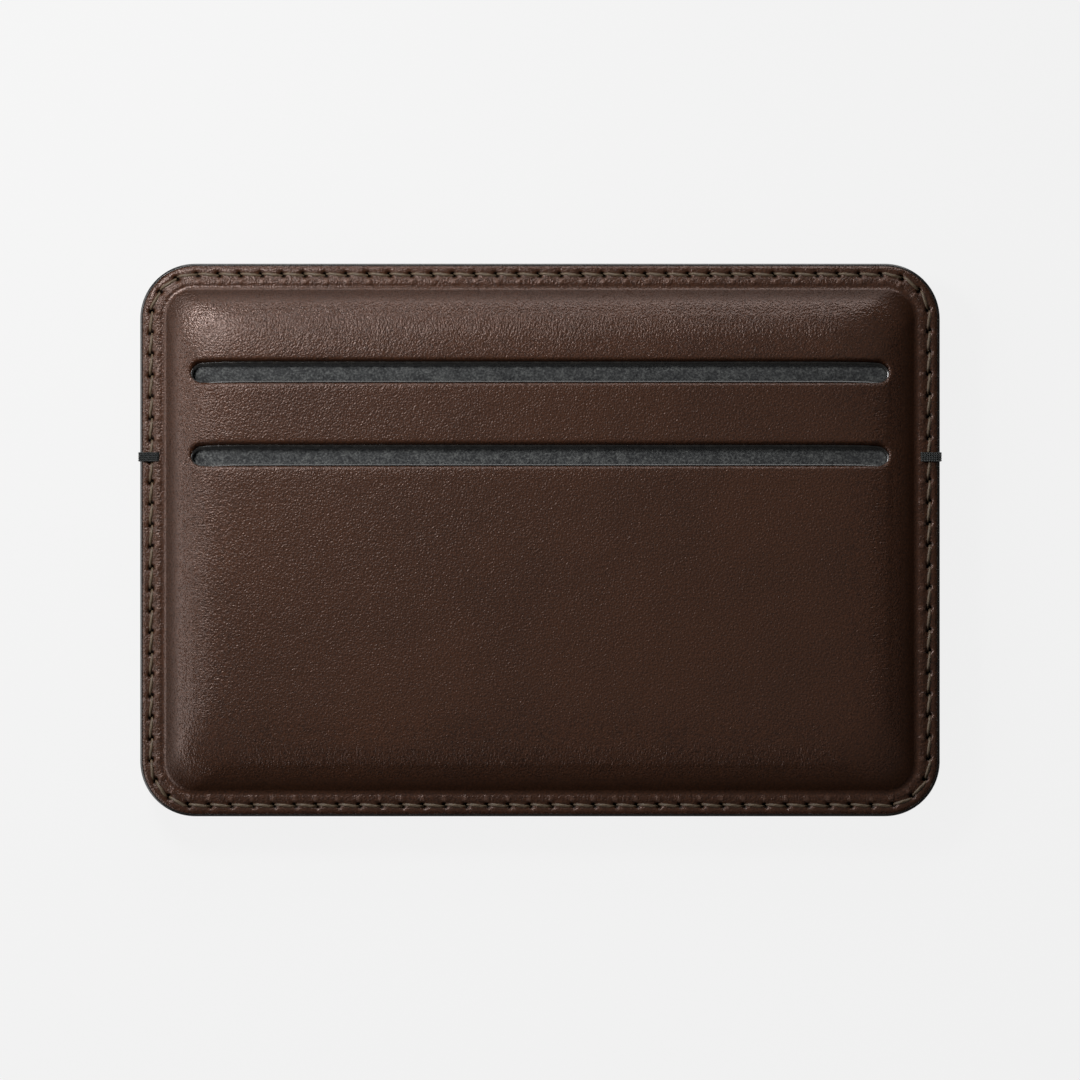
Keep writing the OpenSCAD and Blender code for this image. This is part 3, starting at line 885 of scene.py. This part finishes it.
# One stitch: an arch between its two needle holes
end = 0.5 * seam["Length"]
bend = 0.4 * seam["Length"]
low = -1 * seam["Dive"]
crest = 0.35 * seam["Dive"]
arch = line.node("GeometryNodeCurvePrimitiveBezierSegment", 0, {
    "Resolution": 8,
    "Start": line.node("ShaderNodeCombineXYZ", 0, {"X": -1 * end, "Z": low}),
    "Start Handle": line.node("ShaderNodeCombineXYZ", 0, {"X": -1 * bend, "Z": crest}),
    "End Handle": line.node("ShaderNodeCombineXYZ", 0, {"X": bend, "Z": crest}),
    "End": line.node("ShaderNodeCombineXYZ", 0, {"X": end, "Z": low})})
stitch = cord_of(arch, seam["Thickness"], 8)
sewn = line.node("GeometryNodeInstanceOnPoints", 0,
                 {"Points": stations, "Instance": stitch, "Rotation": lying})
deliver(sewn, seam["Finish"])

seam_thread = new_thread("seam_thread", THREAD_DARK, THREAD_LIGHT, THREAD_LAY, THREAD_TWIST)
stitch_z = BORDER_Z - BORDER_LEAN * (CREASE_START - SEAM_INSET) + STITCH_CREST - THREAD_D / 2
seam_path = ring(np.linspace(0, SEAM_L, SEAM_POINTS), SEAM_INSET, SEAM_R)
seam_path = [(x, y, stitch_z) for x, y in seam_path]
front_seam = grow("front_seam_thread", seam["Path"].tree, seam_path, False,
                  Stitches=STITCHES, Start=STITCH_START * MM, Length=(PITCH - STITCH_GAP) * MM,
                  Slant=math.radians(STITCH_SLANT), Thickness=THREAD_D * MM, Dive=STITCH_DIVE * MM,
                  Finish=seam_thread)
back_seam = back_of(front_seam, "back_seam_thread")
flex(front_seam, "seam_thread", "front_stitches", "flap_stitches")
stay(back_seam, "seam_thread", "back_stitches")

# Bar tacks. On each side five turns of black thread are bound round the edge of both
# halves, where the joined seam ends and the mouth begins. They pass through the border.
TACK_DARK = (5, 6, 6)
TACK_LIGHT = (38, 42, 41)
TACK_LAY = 0.3
TACK_TWIST = 0.75
TACK_D = 0.24
TACK_REACH = 2.4
TACK_TURNS = 5
TACK_END_Z = 0.9

tack = new_tree("turns_of_a_tack", {"Turns": int, "Spacing": float, "Thickness": float})
loop = tack["Path"].node("GeometryNodeMeshToCurve", 0, {"Mesh": tack["Path"]})
loop = loop.node("GeometryNodeFilletCurve", 0,
                 {"Curve": loop, "Count": 4, "Radius": tack["Thickness"]}, mode="POLY")
turn = cord_of(loop, tack["Thickness"], 8)
step = loop.node("ShaderNodeCombineXYZ", 0, {"Y": tack["Spacing"]})
stations = loop.node("GeometryNodeMeshLine", 0, {"Count": tack["Turns"], "Offset": step})
bound = loop.node("GeometryNodeInstanceOnPoints", 0, {"Points": stations, "Instance": turn})
deliver(bound, tack["Finish"])

tack_thread = new_thread("tack_thread", TACK_DARK, TACK_LIGHT, TACK_LAY, TACK_TWIST)
for name, side in (("left", -1), ("right", 1)):
    low, high = (np.array(corner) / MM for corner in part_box(f"{name}_bar_tack"))
    out_x = max(abs(low[0]), abs(high[0])) - TACK_D / 2
    in_x = HALF[0] - TACK_REACH
    first_y = low[1] + TACK_D / 2
    spacing = (high[1] - low[1] - TACK_D) / (TACK_TURNS - 1)
    half_z = (high[2] - low[2]) / 2 - TACK_D / 2
    turn_path = [(in_x, TACK_END_Z), (in_x, half_z), (out_x, half_z),
                 (out_x, -half_z), (in_x, -half_z), (in_x, -TACK_END_Z)]
    turn_path = [(side * x, first_y, MID_Z + z) for x, z in turn_path]
    bar = grow(f"{name}_tack_thread", tack["Path"].tree, turn_path, False, Turns=TACK_TURNS,
               Spacing=spacing * MM, Thickness=TACK_D * MM, Finish=tack_thread)
    stay(bar, "tack_thread", f"{name}_bar_tack")

# Floor and light. A pale sheet lies under the wallet. Two long soft boxes stand to the left
# and behind, a small lamp stands close by at the upper left, so its light falls off towards
# the lower right, and the room and its pale ceiling fill the rest.
FLOOR_PALE = 0.896
FLOOR_DULL = 0.45
FLOOR_SHADE = 0.05
FLOOR_HALF = 1.5
FLOOR_Z = -0.01
LEFT_SIZE = (0.56, 0.10)
LEFT_PLACE = (-0.31, -0.10, 0.185)
LEFT_POWER = 0.82
LEFT_AIM = (0, -0.10, 0)
BACK_SIZE = (0.32, 0.10)
BACK_PLACE = (0.02, 0.33, 0.165)
BACK_POWER = 0.59
LAMP_SIZE = (0.042, 0.042)
LAMP_PLACE = (-0.080, 0.080, 0.133)
LAMP_POWER = 0.187
MIDDLE = (0, 0, 0)
ROOM_LIGHT = 0.048
CEILING_SHEEN = 0.25

floor_mesh = bpy.data.meshes.new("floor")
corners = [(x * FLOOR_HALF, y * FLOOR_HALF) for x, y in ((-1, -1), (1, -1), (1, 1), (-1, 1))]
floor_mesh.from_pydata([(x, y, FLOOR_Z * MM) for x, y in corners], [], [(0, 1, 2, 3)])
floor = bpy.data.objects.new("floor", floor_mesh)
bpy.context.scene.collection.objects.link(floor)
paper = bpy.data.materials.new("pale_paper")
paper.use_nodes = True
paper.node_tree.nodes.clear()
wire = Wire(paper.node_tree)
rays = [wire.node("ShaderNodeLightPath", ray) for ray in
        ("Is Camera Ray", "Is Glossy Ray", "Is Transmission Ray")]
seen = rays[0].maths("MAXIMUM", rays[0], rays[1].maths("MAXIMUM", rays[1], rays[2]))
pale = [FLOOR_PALE] * 3 + [1]
shaded = wire.node("ShaderNodeBsdfDiffuse", 0, {"Color": pale})
lit = wire.node("ShaderNodeEmission", 0, {"Color": pale, "Strength": 1.0})
shown = wire.node("ShaderNodeMixShader", 0, {0: FLOOR_SHADE, 1: lit, 2: shaded})
dull = wire.node("ShaderNodeBsdfDiffuse", 0, {"Color": [FLOOR_DULL] * 3 + [1]})
sheet = wire.node("ShaderNodeMixShader", 0, {0: seen, 1: dull, 2: shown})
sheet.to(paper.node_tree.nodes.new("ShaderNodeOutputMaterial").inputs["Surface"])
floor_mesh.materials.append(paper)

for name, place, size, power, aim in (("left_box", LEFT_PLACE, LEFT_SIZE, LEFT_POWER, LEFT_AIM),
                                      ("back_box", BACK_PLACE, BACK_SIZE, BACK_POWER, MIDDLE),
                                      ("near_lamp", LAMP_PLACE, LAMP_SIZE, LAMP_POWER, MIDDLE)):
    box_data = bpy.data.lights.new(name, "AREA")
    box_data.shape = "RECTANGLE"
    box_data.size, box_data.size_y = size
    box_data.energy = power
    box = bpy.data.objects.new(name, box_data)
    box.location = place
    box.rotation_mode = "QUATERNION"
    box.rotation_quaternion = (Vector(aim) - Vector(place)).to_track_quat("-Z", "Y")
    bpy.context.scene.collection.objects.link(box)

room = bpy.data.worlds.new("room")
room.use_nodes = True
wire = Wire(room.node_tree)
sky = wire.node("ShaderNodeTexCoord", "Generated")
up = wire.maths("MAXIMUM", sky.node("ShaderNodeSeparateXYZ", 2, {0: sky}), 0)
glossy = wire.node("ShaderNodeLightPath", "Is Glossy Ray")
strength = (1 - glossy) * ROOM_LIGHT + glossy * CEILING_SHEEN * up * up
room.node_tree.nodes["Background"].inputs["Color"].default_value = (1, 1, 1, 1)
strength.to(room.node_tree.nodes["Background"].inputs["Strength"])
bpy.context.scene.world = room
bpy.context.scene.view_settings.view_transform = "Standard"
